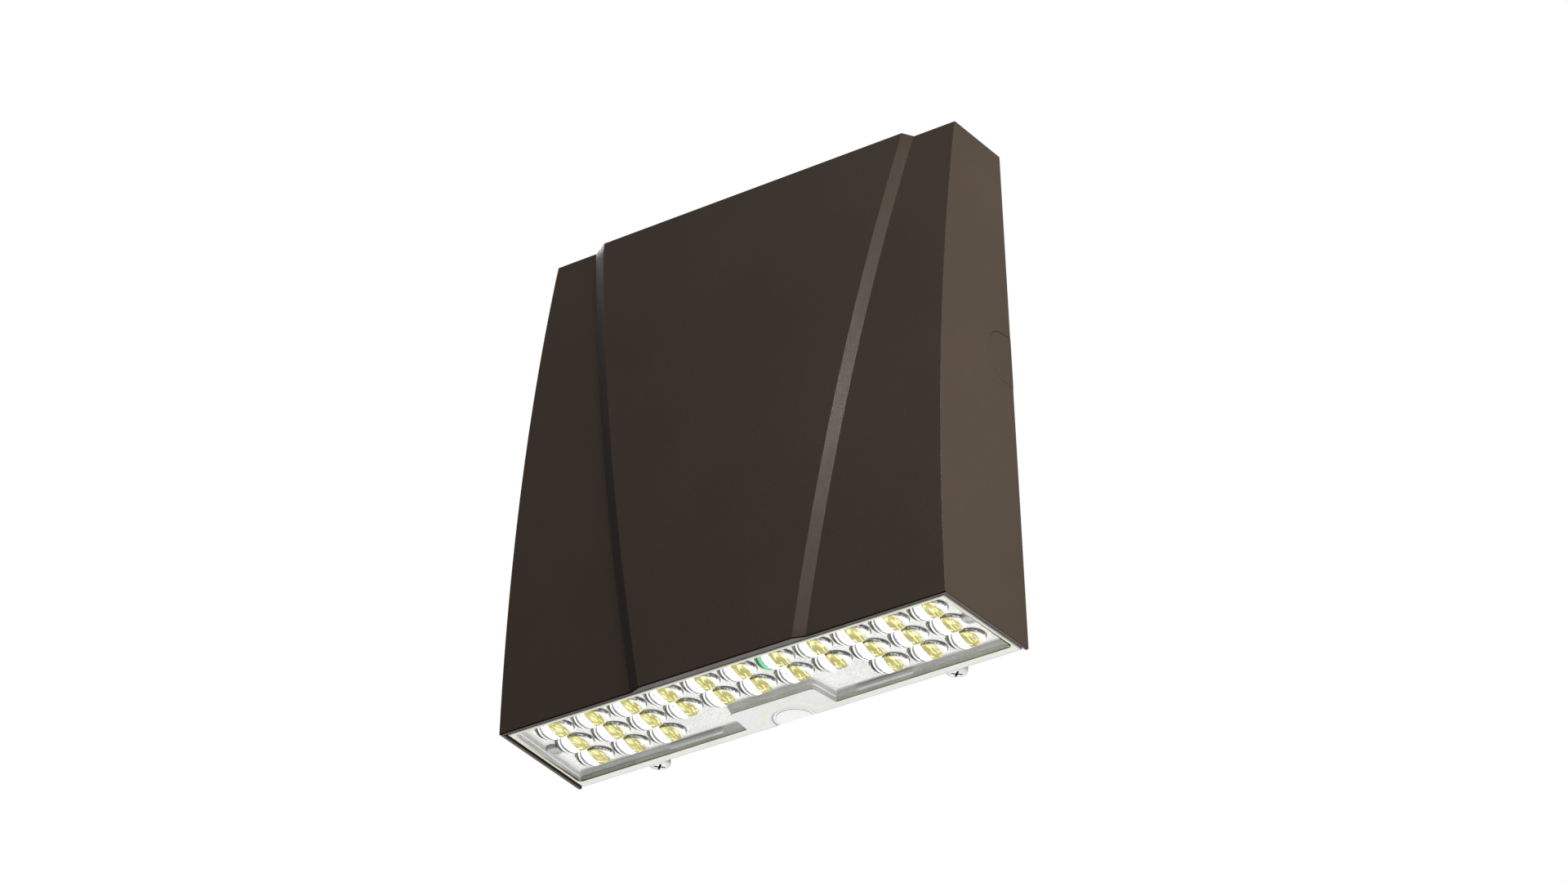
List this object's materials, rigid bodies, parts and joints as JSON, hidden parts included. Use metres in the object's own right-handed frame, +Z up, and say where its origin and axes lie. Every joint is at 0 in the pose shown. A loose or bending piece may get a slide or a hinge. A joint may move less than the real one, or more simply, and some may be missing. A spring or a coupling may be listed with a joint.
{
  "type": "wall pack light",
  "caption": "Curved bronze wall pack light: hinged hood with a raised tapering centre panel, a clear multi-lens optic facing down and a back box for the wall.",
  "frame": {"origin": "centre of the junction box pattern, on the wall plane", "axes": "+Z up, +Y into the wall, the hood faces -Y, +X to the viewer's right"},
  "size_m": [0.26, 0.0838, 0.2838],
  "materials": {
    "bronze": "dark bronze powder coat, fine texture, over die-cast aluminium",
    "clear_optic": "clear moulded acrylic",
    "sealant": "pale yellow silicone bead, matte",
    "board_white": "white solder mask",
    "led": "yellow phosphor over a white package",
    "steel_screw": "stainless steel",
    "black_plastic": "black moulded plastic",
    "black_rubber": "black rubber",
    "driver_case": "white moulded case",
    "surge_case": "black moulded case",
    "foam": "closed-cell foam",
    "pin_steel": "stainless steel",
    "terminal_grey": "grey moulded nylon",
    "ground_green": "green finish"
  },
  "bodies": {
    "back_box": {"wall_plate": "bronze", "box_frame": "bronze", "plate_rivets": "pin_steel", "wall_gasket": "foam", "conduit_plugs": "pin_steel", "hinge_pins": "pin_steel", "hinge_clips": "pin_steel", "terminal_block": "terminal_grey", "ground_screw": "ground_green"},
    "hood": {"front_housing": "bronze", "optic_plate": "clear_optic", "optic_seal": "sealant", "led_board": "board_white", "led_packages": "led", "board_screws": "steel_screw", "vent_plug": "black_plastic", "lead_grommet": "black_rubber", "driver": "driver_case", "surge_protector": "surge_case", "fixing_screws": "steel_screw"},
    "side_entry_cover_left": {"side_entry_cover_left": "bronze"},
    "side_entry_cover_right": {"side_entry_cover_right": "bronze"},
    "bottom_entry_cover": {"bottom_entry_cover": "clear_optic"},
    "latch_screw_left": {"latch_screw_left": "steel_screw"},
    "latch_screw_right": {"latch_screw_right": "steel_screw"}
  },
  "joints": [
    {"name": "hood_hinge", "type": "hinge", "parent": "back_box", "child": "hood", "pos_m": [0, -0.024, 0.1105], "axis": [-1, 0, 0], "range_deg": [0, 80]},
    {"name": "latch_screw_left_travel", "type": "slide", "parent": "back_box", "child": "latch_screw_left", "axis": [0, 0, -1], "range_m": [0, 0.008]},
    {"name": "latch_screw_right_travel", "type": "slide", "parent": "back_box", "child": "latch_screw_right", "axis": [0, 0, -1], "range_m": [0, 0.008]},
    {"name": "left_cover_slide", "type": "slide", "parent": "hood", "child": "side_entry_cover_left", "axis": [0, 1, 0], "range_m": [0, 0.011]},
    {"name": "right_cover_slide", "type": "slide", "parent": "hood", "child": "side_entry_cover_right", "axis": [0, 1, 0], "range_m": [0, 0.011]},
    {"name": "bottom_cover_slide", "type": "slide", "parent": "hood", "child": "bottom_entry_cover", "axis": [0, 1, 0], "range_m": [0, 0.011]}
  ]
}
